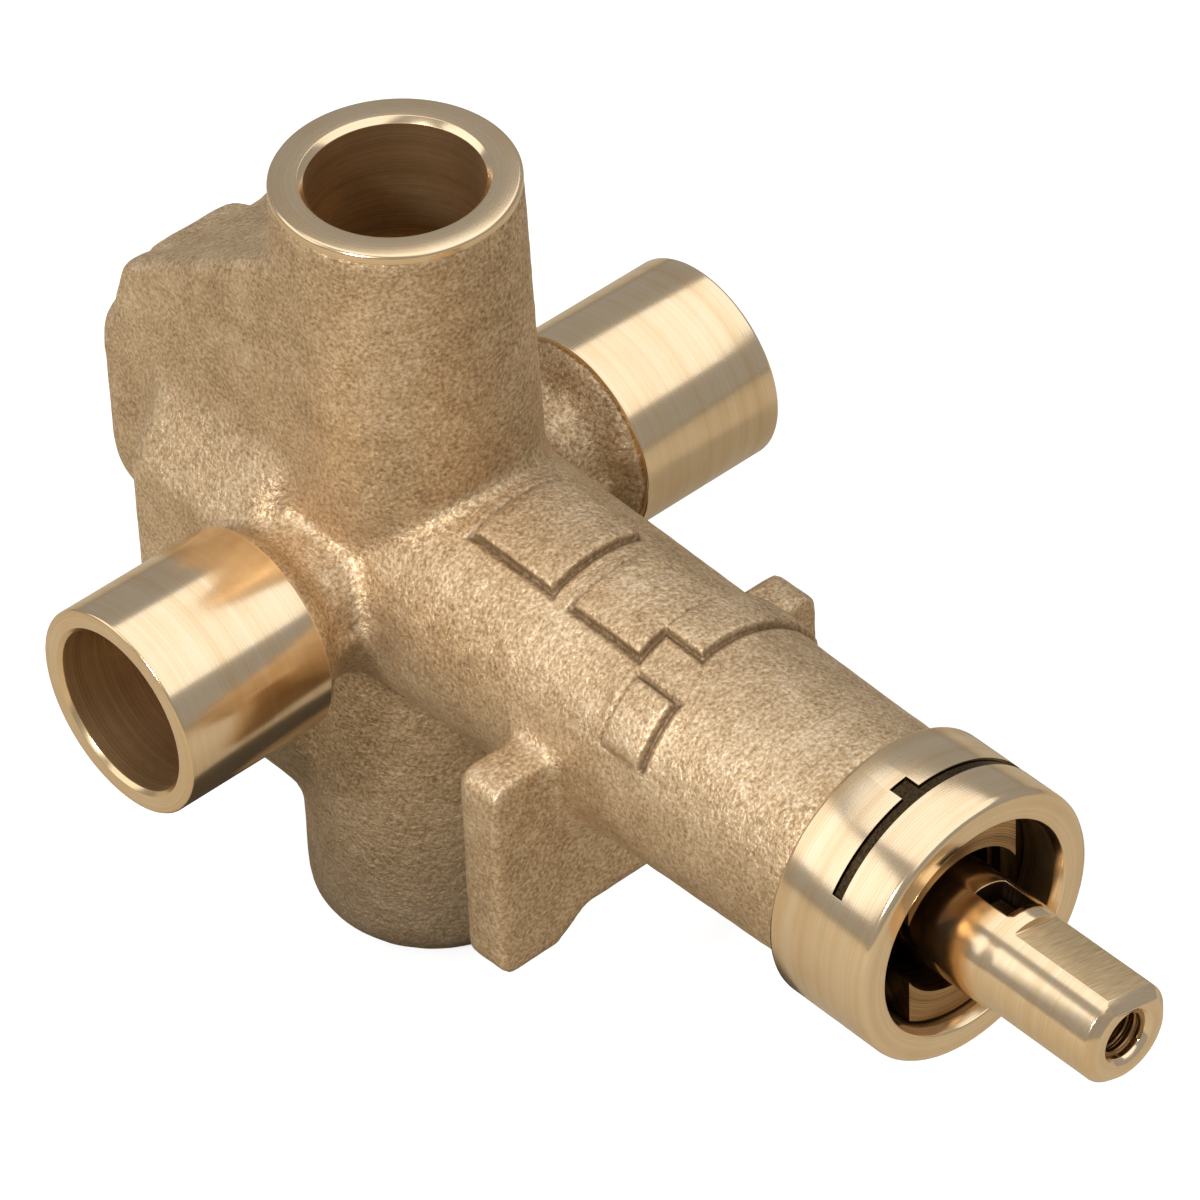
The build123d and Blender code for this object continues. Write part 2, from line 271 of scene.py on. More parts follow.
# Spring steel sheet, stamped: grey brown with fine rolling marks, dull from handling; its tones are set
# darker than bare steel, as painted shade for the clip sunk in its slot.
def stampedSteel(look):
    material, tree = emptyMaterial("stampedSpringSteel")
    rolled = streakNode(tree, look["streakMm"])
    finishMaterial(tree, {"Metallic": 1.0}, {
        "Base Color": rampNode(tree, rolled, look["tones"]),
        "Roughness": rangeNode(tree, rolled, (0.0, 1.0), look["rough"]),
    })
    return material


milledLook = {
    "streakMm": (2.0, 0.14, 2.0),
    "tonePlaces": (0.3, 0.7),
    "rough": (0.32, 0.5),
    "bumpStrength": 0.5,
    "markHeightMm": 0.01,
}


# Brass cut with an end mill: satin, with fine marks across the cut.
def milledBrass(name, tones, look):
    material, tree = emptyMaterial(name)
    marks = streakNode(tree, look["streakMm"])
    finishMaterial(tree, {"Metallic": 1.0}, {
        "Base Color": rampNode(tree, marks, list(zip(look["tonePlaces"], tones))),
        "Roughness": rangeNode(tree, marks, (0.0, 1.0), look["rough"]),
        "Normal": bumpNode(tree, marks, look["bumpStrength"], look["markHeightMm"]),
    })
    return material


castBronze = sandCastBronze(castBronzeLook)
collarBrass = turnedBrass("turnedCollarBrass", "Y", (0, 0, 0), turnedLook)
stemBrass = turnedBrass("turnedStemBrass", "Y", (0, 0, 0), turnedLook)
cupBrass = turnedBrass("turnedCupBrass", "X", (0, portY, 0), turnedLook)
rimBrass = turnedBrass("facedRimBrass", "Z", (0, portY, 0), turnedLook)
cupBore = turnedBrass("boredCupBrass", "X", (0, portY, 0), boredLook)
outletBore = turnedBrass("boredOutletBrass", "Z", (0, portY, 0), boredLook)
collarBore = turnedBrass("boredCollarBrass", "Y", (0, 0, 0), mouthLook)
headBrass = turnedBrass("turnedCartridgeBrass", "Y", (0, 0, 0), headLook)
flatBrass = milledBrass("milledFlatBrass", ("#C8AA7E", "#E8CEA4"), milledLook)
notchBrass = milledBrass("milledNotchBrass", ("#33251A", "#5A4530"), milledLook)
rubber = mouldedRubber(rubberLook)
springSteel = stampedSteel(steelLook)
print("materials made:", len(bpy.data.materials))


def newObject(name, mesh):
    piece = bpy.data.objects.new(name, mesh)
    bpy.context.scene.collection.objects.link(piece)
    return piece


def meshFrom(bm, name):
    mesh = bpy.data.meshes.new(name)
    bm.normal_update()
    bm.to_mesh(mesh)
    bm.free()
    return mesh


def smoothShade(mesh, angle=35):
    mesh.shade_smooth()
    mesh.set_sharp_from_angle(angle=math.radians(angle))


def evaluatedMesh(piece):
    graph = bpy.context.evaluated_depsgraph_get()
    return bpy.data.meshes.new_from_object(piece.evaluated_get(graph))


# Replaces each corner of a closed outline with an arc; corners are (along, radius, round).
def roundedOutline(corners, steps=4):
    outline = []
    for i, (along, radius, rounding) in enumerate(corners):
        here = Vector((along, radius))
        before = Vector(corners[i - 1][:2]) - here
        after = Vector(corners[(i + 1) % len(corners)][:2]) - here
        if rounding == 0:
            outline.append(here)
            continue
        half = before.angle(after) / 2
        reach = rounding / math.tan(half)
        before.normalize()
        after.normalize()
        start, end = here + before * reach, here + after * reach
        centre = here + (before + after).normalized() * (rounding / math.sin(half))
        for step in range(steps + 1):
            spot = start.lerp(end, step / steps) - centre
            outline.append(centre + spot.normalized() * rounding)
    return outline


# Closed ring turned about an axis through centre, with a second finish on faces nearer than boreR.
def turnedRing(name, corners, axis, centre, boreR, side=1, segments=144):
    outline = roundedOutline(corners)
    ways = {"X": (1, 2), "Y": (2, 0), "Z": (0, 1)}[axis]
    lengthWay = "XYZ".index(axis)
    bm = bmesh.new()
    rings = []
    for turn in range(segments):
        angle = 2 * math.pi * turn / segments
        ring = []
        for along, radius in outline:
            spot = [0.0, 0.0, 0.0]
            spot[lengthWay] = side * along
            spot[ways[0]] = radius * math.cos(angle)
            spot[ways[1]] = radius * math.sin(angle)
            ring.append(bm.verts.new((Vector(spot) + Vector(centre)) * mm))
        rings.append(ring)
    for turn in range(segments):
        ring, following = rings[turn], rings[(turn + 1) % segments]
        for i in range(len(outline)):
            j = (i + 1) % len(outline)
            face = bm.faces.new((ring[i], ring[j], following[j], following[i]))
            near = max(outline[i].y, outline[j].y) < boreR
            face.material_index = int(near)
    bmesh.ops.recalc_face_normals(bm, faces=bm.faces)
    mesh = meshFrom(bm, name)
    smoothShade(mesh)
    return newObject(name, mesh)


cup = {
    "endMm": highCorner.x,
    "backMm": 18.5,
    "outerR": 10.0,
    "tongueR": 9.4,
    "wayR": 4.4,
    "socketDepthMm": mounts["hot_inlet"]["dims"]["length_mm"],
    "leadMm": 0.4,
    "backRound": 0.2,
    "rimRound": 0.3,
    "leadRound": 0.1,
    "floorRound": 0.3,
    "wayRound": 0.25,
    "skin": 0.06,           # the bored face stands this far inside the CAD wall
    "boreSlack": 0.05,      # faces up to this far past the socket's radius count as bored
    "cutBack": 0.1,         # room that the cutter has behind, past and around the cup
    "cutPast": 1.0,
    "cutOut": 0.4,
}


# Turned solder cup on an inlet: outside, rim with a lead-in, bored socket and its floor.
def inletCup(name, side):
    wayR, wallR = cup["wayR"] - cup["skin"], socketR - cup["skin"]
    floor = cup["endMm"] - cup["socketDepthMm"] + cup["skin"]
    corners = [
        (cup["backMm"], wayR, 0),
        (cup["backMm"], cup["outerR"], cup["backRound"]),
        (cup["endMm"], cup["outerR"], cup["rimRound"]),
        (cup["endMm"], wallR + cup["leadMm"], cup["leadRound"]),
        (cup["endMm"] - cup["leadMm"], wallR, cup["leadRound"]),
        (floor, wallR, cup["floorRound"]),
        (floor, wayR, cup["wayRound"]),
    ]
    piece = turnedRing(name, corners, "X", (0, portY, 0), socketR + cup["boreSlack"], side)
    piece.data.materials.append(cupBrass)
    piece.data.materials.append(cupBore)
    return piece


outlet = {
    "topMm": highCorner.z,
    "rimR": 11.0,
    "rimMm": 1.0,
    "leadMm": 0.5,
    "footRound": 0.15,
    "rimRound": 0.4,
    "leadRound": 0.1,
    "floorRound": 0.3,
    "linerR": 9.0,
    "wayR": 6.4,
    "socketDepthMm": mounts["shower_outlet"]["dims"]["length_mm"],
    "belowMm": 1.5,         # the socket piece runs this far on below its floor
    "skin": 0.06,
    "boreSlack": 0.05,
    "floorSlack": 0.1,      # how near a point of the copy must lie to belong to the socket's wall
    "wallSlack": 0.2,
    "clearMm": 0.3,
}


# Faced rim and bored socket at the top of the cast tube.
def outletSocket():
    wallR, wayR = socketR - outlet["skin"], outlet["wayR"] - outlet["skin"]
    floor = outlet["topMm"] - outlet["socketDepthMm"] + outlet["skin"]
    corners = [
        (floor - outlet["belowMm"], wayR, 0),
        (floor - outlet["belowMm"], outlet["linerR"], 0),
        (outlet["topMm"] - outlet["rimMm"], outlet["linerR"], 0),
        (outlet["topMm"] - outlet["rimMm"], outlet["rimR"], outlet["footRound"]),
        (outlet["topMm"], outlet["rimR"], outlet["rimRound"]),
        (outlet["topMm"], wallR + outlet["leadMm"], outlet["leadRound"]),
        (outlet["topMm"] - outlet["leadMm"], wallR, outlet["leadRound"]),
        (floor, wallR, outlet["floorRound"]),
        (floor, wayR, outlet["floorRound"]),
    ]
    piece = turnedRing("outletSocket", corners, "Z", (0, portY, 0), socketR + outlet["boreSlack"])
    piece.data.materials.append(rimBrass)
    piece.data.materials.append(outletBore)
    return piece


collar = {
    "edgeMm": 0.6,
    "lengthMm": 10.9,
    "boreR": 10.2,
    "leadMm": 0.5,
    "lipRound": 0.3,
    "frontRound": 0.75,
    "rearRound": 0.45,
    "slotY": 4.7,
    "slotWidth": 1.14,
    "slotHalf": 10.92,
    "slotLow": -8.12,
    "tabX": -1.9,
    "tabWidth": 1.94,
    "tabRear": 6.77,
    "tabFloor": 11.93,
    "cutPast": 1.0,
    "lipMm": 0.35,
    "boreSlack": 0.1,
}


def boxPiece(low, high):
    bm = bmesh.new()
    bmesh.ops.create_cube(bm, size=1.0)
    size = Vector(high) - Vector(low)
    for vert in bm.verts:
        vert.co = ((vert.co + Vector((0.5, 0.5, 0.5))) * size + Vector(low)) * mm
    return newObject("cutter", meshFrom(bm, "cutter"))


def cutAway(piece, cutters):
    for cutter in cutters:
        cut = piece.modifiers.new("cut", "BOOLEAN")
        cut.operation = "DIFFERENCE"
        cut.solver = "EXACT"
        cut.object = cutter
    cutMesh = evaluatedMesh(piece)
    piece.modifiers.clear()
    piece.data = cutMesh
    for cutter in cutters:
        bpy.data.objects.remove(cutter)
    return piece


# Turned collar, slotted for the clip and for its tab.
def collarRing():
    bore = collar["boreR"] - cup["skin"]
    corners = [
        (-collar["edgeMm"], bore + collar["lipMm"], collar["lipRound"]),
        (-collar["edgeMm"], collarR, collar["frontRound"]),
        (collar["lengthMm"], collarR, collar["rearRound"]),
        (collar["lengthMm"], bore, 0),
        (collar["leadMm"], bore, collar["lipRound"]),
    ]
    piece = turnedRing("collarRing", corners, "Y", (0, 0, 0), collar["boreR"] + collar["boreSlack"])
    piece.data.materials.append(collarBrass)
    piece.data.materials.append(collarBore)
    half, tabHalf = collar["slotWidth"] / 2, collar["tabWidth"] / 2
    past = collarR + collar["cutPast"]
    slot = boxPiece(
        (-collar["slotHalf"], collar["slotY"] - half, collar["slotLow"]),
        (collar["slotHalf"], collar["slotY"] + half, past),
    )
    tab = boxPiece(
        (collar["tabX"] - tabHalf, collar["slotY"], collar["tabFloor"]),
        (collar["tabX"] + tabHalf, collar["tabRear"], past),
    )
    cutAway(piece, [slot, tab])
    smoothShade(piece.data)
    return piece


core = {
    "voxelMm": 0.62,
    "weldMm": 0.002,
    "seatMm": 0.05,
    "tongueMm": 0.6,        # the cast core runs this far on inside each machined piece
    "softPace": 0.5,
    "softRounds": 5,
    "normalsEvery": 6,      # rounds
    "edgeShare": 0.35,
    "bossEnd": ((11.5, 71.5, 2.0), (17.0, 75.0, 12.0)),   # corner that runs out into the neck, on each side
    "bossRounds": 20,
    "fadeMm": 1.2,
    "finRun": (10.0, 15.2),
    "finReach": (6.4, 8.1),
    "finThick": 0.8,
    "finZ": 0.4,
    "waveMm": 1.5,
    "waveHeightMm": 0.045,
    "undercutMm": (0.9, 0.4),   # width and depth
    "undercutWall": 0.5,        # the bore's wall is left alone up to this far out
}


# Cuts the copy at a plane, drops what lies beyond it and closes the wall a little further on.
def cutAndCap(bm, point, normal):
    spot, way = Vector(point) * mm, Vector(normal)
    everything = bm.verts[:] + bm.edges[:] + bm.faces[:]
    bmesh.ops.bisect_plane(bm, geom=everything, plane_co=spot, plane_no=way, clear_outer=True, dist=1e-7)
    rim = [edge for edge in bm.edges if edge.is_boundary]
    grown = bmesh.ops.extrude_edge_only(bm, edges=rim)["geom"]
    moved = [part for part in grown if isinstance(part, bmesh.types.BMVert)]
    bmesh.ops.translate(bm, verts=moved, vec=way * core["tongueMm"] * mm)
    lips = [edge for edge in bm.edges if edge.is_boundary]
    bmesh.ops.bridge_loops(bm, edges=lips)


# Moves points to the mean of their neighbours: fully in hollows, which fills them as a pattern's
# fillets do, and by edgeShare on outer edges.
def softenCasting(mesh, rounds, edgeShare, zone=None):
    count = len(mesh.vertices)
    spots = np.empty(count * 3)
    mesh.vertices.foreach_get("co", spots)
    spots = spots.reshape(-1, 3)
    share = np.ones(count)
    if zone:
        low, high = (np.array(corner) * mm for corner in zone)
        spread = core["fadeMm"] * mm
        outside = np.maximum(low - np.abs(spots), np.abs(spots) - high).max(axis=1)
        share = np.clip(1 - outside / spread, 0, 1)
    edges = np.empty(len(mesh.edges) * 2, int)
    mesh.edges.foreach_get("vertices", edges)
    ends = np.concatenate([edges.reshape(-1, 2), edges.reshape(-1, 2)[:, ::-1]])
    here, there = ends.T
    degree = np.bincount(here, minlength=count)
    normals = np.empty(count * 3)
    for step in range(rounds):
        if step % core["normalsEvery"] == 0:
            mesh.vertices.foreach_set("co", spots.ravel())
            mesh.update()
            mesh.vertex_normals.foreach_get("vector", normals)
        mean = np.stack([
            np.bincount(here, weights=spots[there, way], minlength=count) / degree for way in range(3)
        ], axis=1)
        move = mean - spots
        outward = (move * normals.reshape(-1, 3)).sum(axis=1)
        spots += move * (share * core["softPace"] * np.where(outward > 0, 1.0, edgeShare))[:, None]
    mesh.vertices.foreach_set("co", spots.ravel())
    mesh.update()


relief = {
    "pads": (               # y and x limits
        (35.1, 43.4, -5.1, 5.1),
        (46.2, 56.1, -5.1, 5.1),
        (30.6, 35.1, -2.0, 14.0),
        (29.2, 33.8, -10.9, -6.6),
    ),
    "topMm": 5.0,           # only points above this height and outside this radius take the relief
    "fromR": 10.8,
    "raiseMm": 0.25,
    "grooveMm": 0.42,
    "grooveWidthMm": 0.28,
    "shadeShare": 0.75,
    "edgeMm": 0.15,
    "nearMm": 1.2,          # the net is refined this close to an outline
    "cuts": 3,
}


# Redraws the raised pads' edges on a finer net, since the coarse net of the casting blurs them.
def sharpenRelief(mesh):
    def depthInside(spot):
        x, y, z = spot / mm
        if z < relief["topMm"] or math.hypot(x, z) < relief["fromR"]:
            return -math.inf
        return max(min(y - a, b - y, x - c, d - x) for a, b, c, d in relief["pads"])

    bm = bmesh.new()
    bm.from_mesh(mesh)
    paintedShade = bm.verts.layers.float.new("grooveShade")
    edges = set()
    for face in bm.faces:
        if abs(depthInside(face.calc_center_median())) < relief["nearMm"]:
            edges.update(face.edges)
    bmesh.ops.subdivide_edges(bm, edges=list(edges), cuts=relief["cuts"], use_grid_fill=True)
    bm.normal_update()
    for vert in bm.verts:
        inside = depthInside(vert.co)
        if inside < -relief["nearMm"]:
            continue
        raised = min(max(inside / relief["edgeMm"] + 0.5, 0), 1) * relief["raiseMm"]
        groove = math.exp(-((inside + relief["grooveWidthMm"]) / relief["grooveWidthMm"]) ** 2)
        vert.co += vert.normal * (raised - groove * relief["grooveMm"]) * mm
        # painted shade: the groove round each pad is marked to be coloured dark
        vert[paintedShade] = groove * relief["shadeShare"]
    bm.to_mesh(mesh)
    bm.free()


# Tool relief where the turned collar ends, with painted shade in the groove beside it.
def undercut(mesh):
    start, width = collar["lengthMm"], core["undercutMm"][0]
    paintedShade = mesh.attributes["grooveShade"].data
    for vert in mesh.vertices:
        out = Vector((vert.co.x, 0, vert.co.z))
        past = (vert.co.y / mm - start) / width
        if past < 1 and out.length > (collar["boreR"] + core["undercutWall"]) * mm:
            vert.co -= out.normalized() * core["undercutMm"][1] * (1 - max(past, 0)) * mm
            # painted shade, strongest right beside the collar
            paintedShade[vert.index].value = 1 - max(past, 0)


# Slow unevenness of a hand-rammed mould.
def ripple(mesh):
    spots = np.empty(len(mesh.vertices) * 3)
    normals = np.empty(len(mesh.vertices) * 3)
    mesh.vertices.foreach_get("co", spots)
    mesh.vertex_normals.foreach_get("vector", normals)
    waves = [noise.noise(Vector(spot) / (core["waveMm"] * mm)) for spot in spots.reshape(-1, 3)]
    spots += normals * np.repeat(waves, 3) * core["waveHeightMm"] * mm
    mesh.vertices.foreach_set("co", spots)
    mesh.update()


# Opens the socket's wall in the copy, so that only the crisp socket piece shows there.
def openSocket(bm):
    floor = outlet["topMm"] - outlet["socketDepthMm"]
    for vert in bm.verts:
        out = Vector((vert.co.x, vert.co.y - portY * mm, 0))
        onWall = abs(out.length / mm - socketR) < outlet["wallSlack"]
        if onWall and vert.co.z > (floor - outlet["floorSlack"]) * mm:
            vert.co += out.normalized() * (outlet["linerR"] + outlet["clearMm"] - socketR) * mm


# Thin fins left on the necks where the two halves of the mould met.
def partingFins(bm):
    inner, outer = core["finRun"]
    low, high = core["finReach"]
    for side in (-1, 1):
        for way in (-1, 1):
            fin = bmesh.ops.create_cube(bm, size=1.0)["verts"]
            middle = Vector((side * (inner + outer) / 2, portY + way * (low + high) / 2, core["finZ"]))
            size = Vector((outer - inner, high - low, core["finThick"]))
            for vert in fin:
                vert.co = (vert.co * size + middle) * mm


backWeb = {
    "half": (11.6, 11.0),   # at its foot and at its head
    "low": 10.5,
    "front": (1.0, 36.6),   # behind the port axes, and height
    "rear": (25.6, 21.9),
    "footBack": 29.2,
    "crest": (              # share of half, and depth in mm
        (-1, 0), (-0.74, 0), (-0.45, 2.2), (0.45, 2.2), (0.74, 0), (1, 0),
    ),
    "roundMm": 1.0,
    "roundFrom": 12.0,      # edges above this height and sharper than this turn are rounded
    "roundTurn": 0.6,
    "boreR": 9.6,
    "boreLengthMm": 100.0,
}


# Thick web that carries the tube on the lobe: flush with both at its sides, hollowed along its crest.
def addBackWeb(bm):
    low, head = backWeb["low"], backWeb["front"][1]
    feet = backWeb["front"][0], backWeb["footBack"]
    web = bmesh.new()
    ends = []
    for (behind, top), foot in zip((backWeb["front"], backWeb["rear"]), feet):
        section = [(-1, low), *((share, top - depth) for share, depth in backWeb["crest"]), (1, low)]
        ring = []
        for share, height in section:
            half = np.interp(height, (low, head), backWeb["half"])
            back = np.interp(height, (low, top), (foot, behind))
            ring.append(web.verts.new(Vector((share * half, portY + back, height)) * mm))
        web.faces.new(ring)
        ends.append(ring)
    for i in range(len(ends[0])):
        j = (i + 1) % len(ends[0])
        web.faces.new((ends[0][i], ends[0][j], ends[1][j], ends[1][i]))
    bmesh.ops.recalc_face_normals(web, faces=web.faces)
    corners = [
        edge for edge in web.edges
        if edge.calc_face_angle() > backWeb["roundTurn"]
        and max(vert.co.z for vert in edge.verts) > backWeb["roundFrom"] * mm
    ]
    bmesh.ops.bevel(
        web, geom=corners, offset=backWeb["roundMm"] * mm, segments=3, profile=0.5, affect="EDGES"
    )
    piece = newObject("backWeb", meshFrom(web, "backWeb"))
    rod = bmesh.new()
    rodR = backWeb["boreR"] * mm
    bmesh.ops.create_cone(
        rod, cap_ends=True, segments=64, radius1=rodR, radius2=rodR, depth=backWeb["boreLengthMm"] * mm,
        matrix=Matrix.Translation((0, portY * mm, 0)),
    )
    cutAway(piece, [newObject("cutter", meshFrom(rod, "cutter"))])
    bm.from_mesh(piece.data)
    bpy.data.objects.remove(piece)


# Takes a machined cup off the copy and leaves a tongue that runs a little way inside the crisp one.
def cupCutter(side):
    start, far = cup["backMm"] - cup["cutBack"], cup["endMm"] + cup["cutPast"]
    inside, outside = cup["wayR"] / 2, cup["outerR"] + cup["cutOut"]
    tongue = start + core["tongueMm"]
    corners = [
        (start, cup["tongueR"], 0), (start, outside, 0), (far, outside, 0),
        (far, inside, 0), (tongue, inside, 0), (tongue, cup["tongueR"], 0),
    ]
    return turnedRing("cutter", corners, "X", (0, portY, 0), 0, side)


# The casting without its machined ends: an even net over the CAD copy, softened as sand leaves it.
def castCore():
    bm = bmesh.new()
    bm.from_mesh(nodes["valve_body"].data)
    bmesh.ops.remove_doubles(bm, verts=bm.verts, dist=core["weldMm"] * mm)
    cutAndCap(bm, (0, collar["lengthMm"] + core["seatMm"], 0), (0, -1, 0))
    cutAndCap(bm, (0, 0, outlet["topMm"] - outlet["rimMm"]), (0, 0, 1))
    openSocket(bm)
    bmesh.ops.recalc_face_normals(bm, faces=bm.faces)
    piece = newObject("castBody", meshFrom(bm, "castBody"))
    cutAway(piece, [cupCutter(-1), cupCutter(1)])
    bm = bmesh.new()
    bm.from_mesh(piece.data)
    partingFins(bm)
    addBackWeb(bm)
    piece.data = meshFrom(bm, "castBody")
    remesh = piece.modifiers.new("sand", "REMESH")
    remesh.mode = "VOXEL"
    remesh.voxel_size = core["voxelMm"] * mm
    remesh.adaptivity = 0
    skin = evaluatedMesh(piece)
    piece.modifiers.clear()
    piece.data = skin
    softenCasting(skin, core["softRounds"], core["edgeShare"])
    softenCasting(skin, core["bossRounds"], 1.0, core["bossEnd"])
    ripple(skin)
    sharpenRelief(skin)
    undercut(skin)
    skin.materials.clear()
    skin.materials.append(castBronze)
    skin.shade_smooth()
    return piece


thread = {
    "pitchMm": 0.8,
    "depthMm": 0.36,
    "startMm": -17.9,
    "endMm": -5.0,
    "stepsPerTurn": 40,
}


# Thread in the stem's end: one ridge that follows a spiral down the hole.
def stemThread():
    group = bpy.data.node_groups.new("threadRidge", "GeometryNodeTree")
    for name in ("Turns", "Radius", "Length", "Ridge"):
        group.interface.new_socket(name, in_out="INPUT", socket_type="NodeSocketFloat")
    group.interface.new_socket("Geometry", in_out="OUTPUT", socket_type="NodeSocketGeometry")
    given = addNode(group, "NodeGroupInput").outputs
    spiral = addNode(
        group, "GeometryNodeCurveSpiral", values={"Resolution": thread["stepsPerTurn"]},
        links={"Rotations": given["Turns"], "Start Radius": given["Radius"], "End Radius": given["Radius"],
               "Height": given["Length"]},
    )
    ridge = addNode(
        group, "GeometryNodeCurvePrimitiveCircle", {"mode": "RADIUS"}, {"Resolution": 4},
        {"Radius": given["Ridge"]},
    )
    sweep = addNode(
        group, "GeometryNodeCurveToMesh", values={"Fill Caps": True},
        links={"Curve": spiral.outputs["Curve"], "Profile Curve": ridge.outputs["Curve"]},
    )
    single = addNode(group, "GeometryNodeRealizeInstances", links={"Geometry": sweep.outputs["Mesh"]})
    dressed = addNode(
        group, "GeometryNodeSetMaterial", values={"Material": headBrass},
        links={"Geometry": single.outputs["Geometry"]},
    )
    addNode(group, "NodeGroupOutput", links={"Geometry": dressed.outputs["Geometry"]})
    piece = newObject("stemThread", bpy.data.meshes.new("stemThread"))
    maker = piece.modifiers.new("thread", "NODES")
    maker.node_group = group
    length = thread["endMm"] - thread["startMm"]
    sizes = {
        "Turns": length / thread["pitchMm"],
        "Radius": screwR * mm,
        "Length": length * mm,
        "Ridge": thread["depthMm"] * mm,
    }
    for item in group.interface.items_tree:
        if item.in_out == "INPUT":
            maker[item.identifier] = sizes[item.name]
    ridgeMesh = evaluatedMesh(piece)
    piece.modifiers.clear()
    piece.data = ridgeMesh
    downHole = Matrix.Rotation(math.pi / 2, 4, "X")
    ridgeMesh.transform(Matrix.Translation((0, thread["endMm"] * mm, 0)) @ downHole)
    ridgeMesh.shade_smooth()
    return piece


stemEdges = {
    "bevelMm": 0.1,
    "bevelFrom": 25.0,      # angles in degrees
    "mergeUnder": 0.5,
    "smoothUnder": 30.0,
    "flatTurn": 14.0,       # the milled flat leans this far towards the cold side
    "flatRearMm": -6.0,
    "flatFacing": 0.998,
    "notchRun": (-4.95, -1.05),
    "notchHalf": 1.85,
    "notchLow": 2.5,
    "notchR": 4.75,
}


# The flat and the notch take the cutter's finish; the faces cut into the notch are dark brown.
def dressCuts(mesh):
    mesh.materials.append(flatBrass)
    mesh.materials.append(notchBrass)
    lean = math.radians(stemEdges["flatTurn"])
    up = Vector((math.sin(lean), 0, math.cos(lean)))
    across = Vector((math.cos(lean), 0, -math.sin(lean)))
    near, far = stemEdges["notchRun"]
    for face in mesh.polygons:
        height = face.center.dot(up) / mm
        side = face.center.dot(across) / mm
        along = face.center.y / mm
        if face.normal.dot(up) > stemEdges["flatFacing"] and along < stemEdges["flatRearMm"]:
            face.material_index = 1
        elif near < along < far and abs(side) < stemEdges["notchHalf"] and height > stemEdges["notchLow"]:
            face.material_index = 2 if math.hypot(side, height) < stemEdges["notchR"] else 0


# The stem with its sharp CAD edges broken, as a deburred turning has.
def brokenEdges(name, node, material, edges):
    bm = bmesh.new()
    bm.from_mesh(nodes[node].data)
    bmesh.ops.remove_doubles(bm, verts=bm.verts, dist=core["weldMm"] * mm)
    merge = math.radians(edges["mergeUnder"])
    bmesh.ops.dissolve_limit(bm, angle_limit=merge, verts=bm.verts, edges=bm.edges)
    piece = newObject(name, meshFrom(bm, name))
    bevel = piece.modifiers.new("edges", "BEVEL")
    bevel.width = edges["bevelMm"] * mm
    bevel.segments = 2
    bevel.limit_method = "ANGLE"
    bevel.angle_limit = math.radians(edges["bevelFrom"])
    bevel.use_clamp_overlap = False
    rounded = evaluatedMesh(piece)
    piece.modifiers.clear()
    piece.data = rounded
    rounded.materials.clear()
    rounded.materials.append(material)
    smoothShade(rounded, edges["smoothUnder"])
    return piece


bodyPieces = [castCore(), inletCup("hotCup", -1), inletCup("coldCup", 1), outletSocket(), collarRing()]
for piece in bodyPieces:
    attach(piece, "valve")
    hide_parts("valve_body")
print("body pieces:", [(piece.name, len(piece.data.polygons)) for piece in bodyPieces])

stemPiece = brokenEdges("handleStem", "stem", stemBrass, stemEdges)
dressCuts(stemPiece.data)
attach(stemPiece, "stem_and_piston")
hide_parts("stem")
threadPiece = stemThread()
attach(threadPiece, "stem_and_piston")

cadFinish = {
    "cartridge_shell": headBrass,
    "end_plug": headBrass,
    "piston": stemBrass,
    "piston_pin": springSteel,
    "retaining_clip": springSteel,
}
for name, node in nodes.items():
    if name in ("valve_body", "stem"):
        continue
    node.data.materials.clear()
    node.data.materials.append(cadFinish.get(name, rubber))
print("CAD nodes dressed")

studio = {
    "azimuth": -40.42,
    "elevation": 41.39,
    "roll": -2.56,
    "focalPx": 7960,
    "framePx": 1200,
    "distanceMm": 705,
    "aimRightMm": 16.15,
    "aimUpMm": -6.19,
    "sensorMm": 36,
    "clipM": 0.01,
    "sky": 0.34,
}


# The camera stands where the photograph's rims and cups put it.
def photoCamera():
    azimuth, elevation, roll = (math.radians(studio[k]) for k in ("azimuth", "elevation", "roll"))
    reach = math.cos(elevation)
    back = Vector((math.sin(azimuth) * reach, -math.cos(azimuth) * reach, math.sin(elevation)))
    level = Vector((math.cos(azimuth), math.sin(azimuth), 0))
    rise = back.cross(level)
    right = level * math.cos(roll) + rise * math.sin(roll)
    up = rise * math.cos(roll) - level * math.sin(roll)
    aim = Vector((0, portY, 0)) + right * studio["aimRightMm"] + up * studio["aimUpMm"]
    lens = bpy.data.cameras.new("photoCamera")
    lens.sensor_width = studio["sensorMm"]
    lens.lens = studio["sensorMm"] * studio["focalPx"] / studio["framePx"]
    lens.clip_start = studio["clipM"]
    camera = bpy.data.objects.new("photoCamera", lens)
    bpy.context.scene.collection.objects.link(camera)
    turn = Matrix((right, up, back)).transposed().to_4x4()
    camera.matrix_world = Matrix.Translation((aim + back * studio["distanceMm"]) * mm) @ turn
    bpy.context.scene.camera = camera


lights = (                  # name, place, aim, size in metres and power
    ("topSoftbox", (0.3, -0.2, 0.75), (0.3, -0.2, 0), (1.3, 1.6), 5.8),
    ("backSoftbox", (-0.6, 0.65, 0.5), (0, 0.05, 0), (0.8, 0.6), 1.5),
    ("leftLamp", (-0.74, -0.1, 0.54), (0, 0.05, 0), (0.14, 0.14), 5.3),
)


def softLight(name, spot, aim, size, power):
    lamp = bpy.data.lights.new(name, "AREA")
    lamp.shape = "RECTANGLE"
    lamp.size, lamp.size_y = size
    lamp.energy = power
    light = bpy.data.objects.new(name, lamp)
    light.location = spot
    light.rotation_euler = (Vector(aim) - Vector(spot)).to_track_quat("-Z", "Y").to_euler()
    bpy.context.scene.collection.objects.link(light)


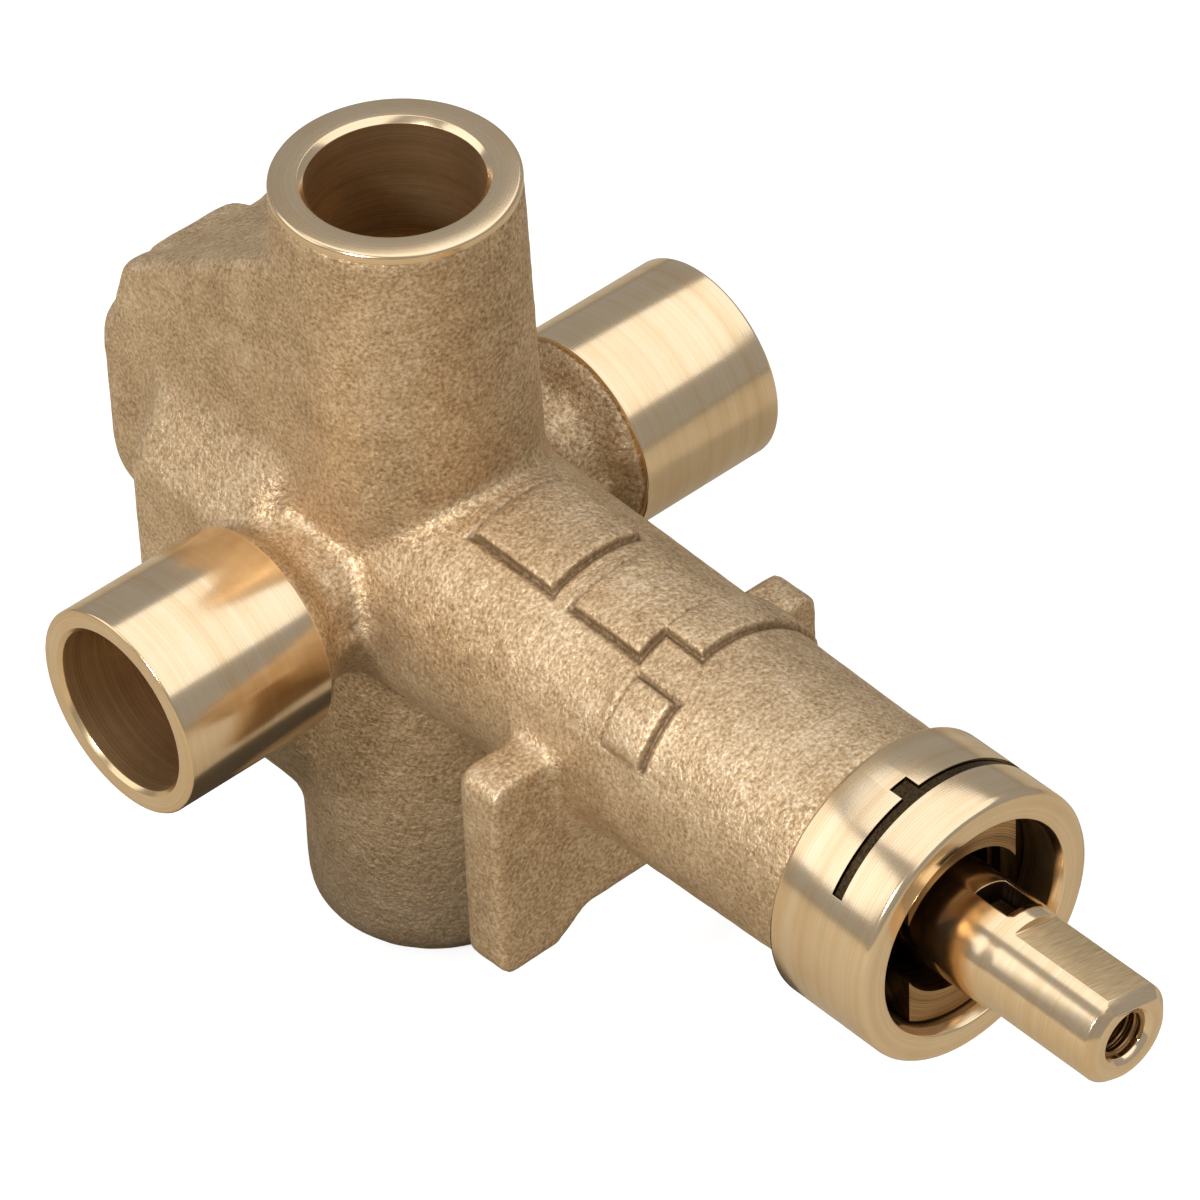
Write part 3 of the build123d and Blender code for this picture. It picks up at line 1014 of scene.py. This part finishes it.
ground = {
    "halfM": 3.0,
    "floorDrop": 0.1,       # each sheet lies this many mm below the valve
    "padDrop": 0.3,
    "tableDrop": 0.6,
    "padR": 37.0,
    "paper": {
        "Base Color": hexColour("#A9A9A7"),
        "Roughness": 0.8,
        "Emission Color": hexColour("#FFFFFF"),
        "Emission Strength": 0.76,   # lit from under, so shadows stay pale
    },
    "table": {"Base Color": hexColour("#B8AE9C"), "Roughness": 0.8},
    "contactShade": {"Base Color": hexColour("#453F37"), "Roughness": 0.9},
}


# Flat sheet under the valve, which only the named kinds of ray see.
def stageSheet(name, bm, dropMm, finish, shader, seenBy):
    bmesh.ops.translate(bm, vec=(0, 0, (lowCorner.z - dropMm) * mm), verts=bm.verts)
    sheet = newObject(name, meshFrom(bm, name))
    material, tree = emptyMaterial(finish)
    finishMaterial(tree, shader, {})
    sheet.data.materials.append(material)
    for ray in ("camera", "diffuse", "glossy", "shadow"):
        setattr(sheet, "visible_" + ray, ray in seenBy)


def squareSheet():
    bm = bmesh.new()
    bmesh.ops.create_grid(bm, x_segments=1, y_segments=1, size=ground["halfM"])
    return bm


def roundSheet():
    bm = bmesh.new()
    bmesh.ops.create_circle(bm, cap_ends=True, segments=64, radius=ground["padR"] * mm)
    bmesh.ops.translate(bm, vec=(0, portY * mm, 0), verts=bm.verts)
    return bm


# The camera sees white paper; the brass reflects a table, with a dark pad under the stub's foot as painted
# shadow, standing in for its contact shadow.
def paleFloor():
    stageSheet("floor", squareSheet(), ground["floorDrop"], "whitePaperSweep", ground["paper"], {"camera"})
    stageSheet(
        "table", squareSheet(), ground["tableDrop"], "greyTable", ground["table"],
        {"diffuse", "glossy", "shadow"},
    )
    # painted shadow: a dark disc round the stub's foot, seen only in reflections and bounce light
    stageSheet(
        "contactShadowPad", roundSheet(), ground["padDrop"], "paintedContactShadow", ground["contactShade"], {"diffuse", "glossy"}
    )


def studioWorld():
    world = bpy.data.worlds.new("studioWorld")
    bpy.context.scene.world = world
    world.use_nodes = True
    tree = world.node_tree
    tree.nodes.clear()
    sky = addNode(
        tree, "ShaderNodeBackground", values={"Color": hexColour("#FFFFFF"), "Strength": studio["sky"]}
    )
    addNode(tree, "ShaderNodeOutputWorld", links={"Surface": sky.outputs[0]})


photoCamera()
paleFloor()
studioWorld()
for light in lights:
    softLight(*light)
bpy.context.scene.view_settings.view_transform = "Standard"
print("studio set")
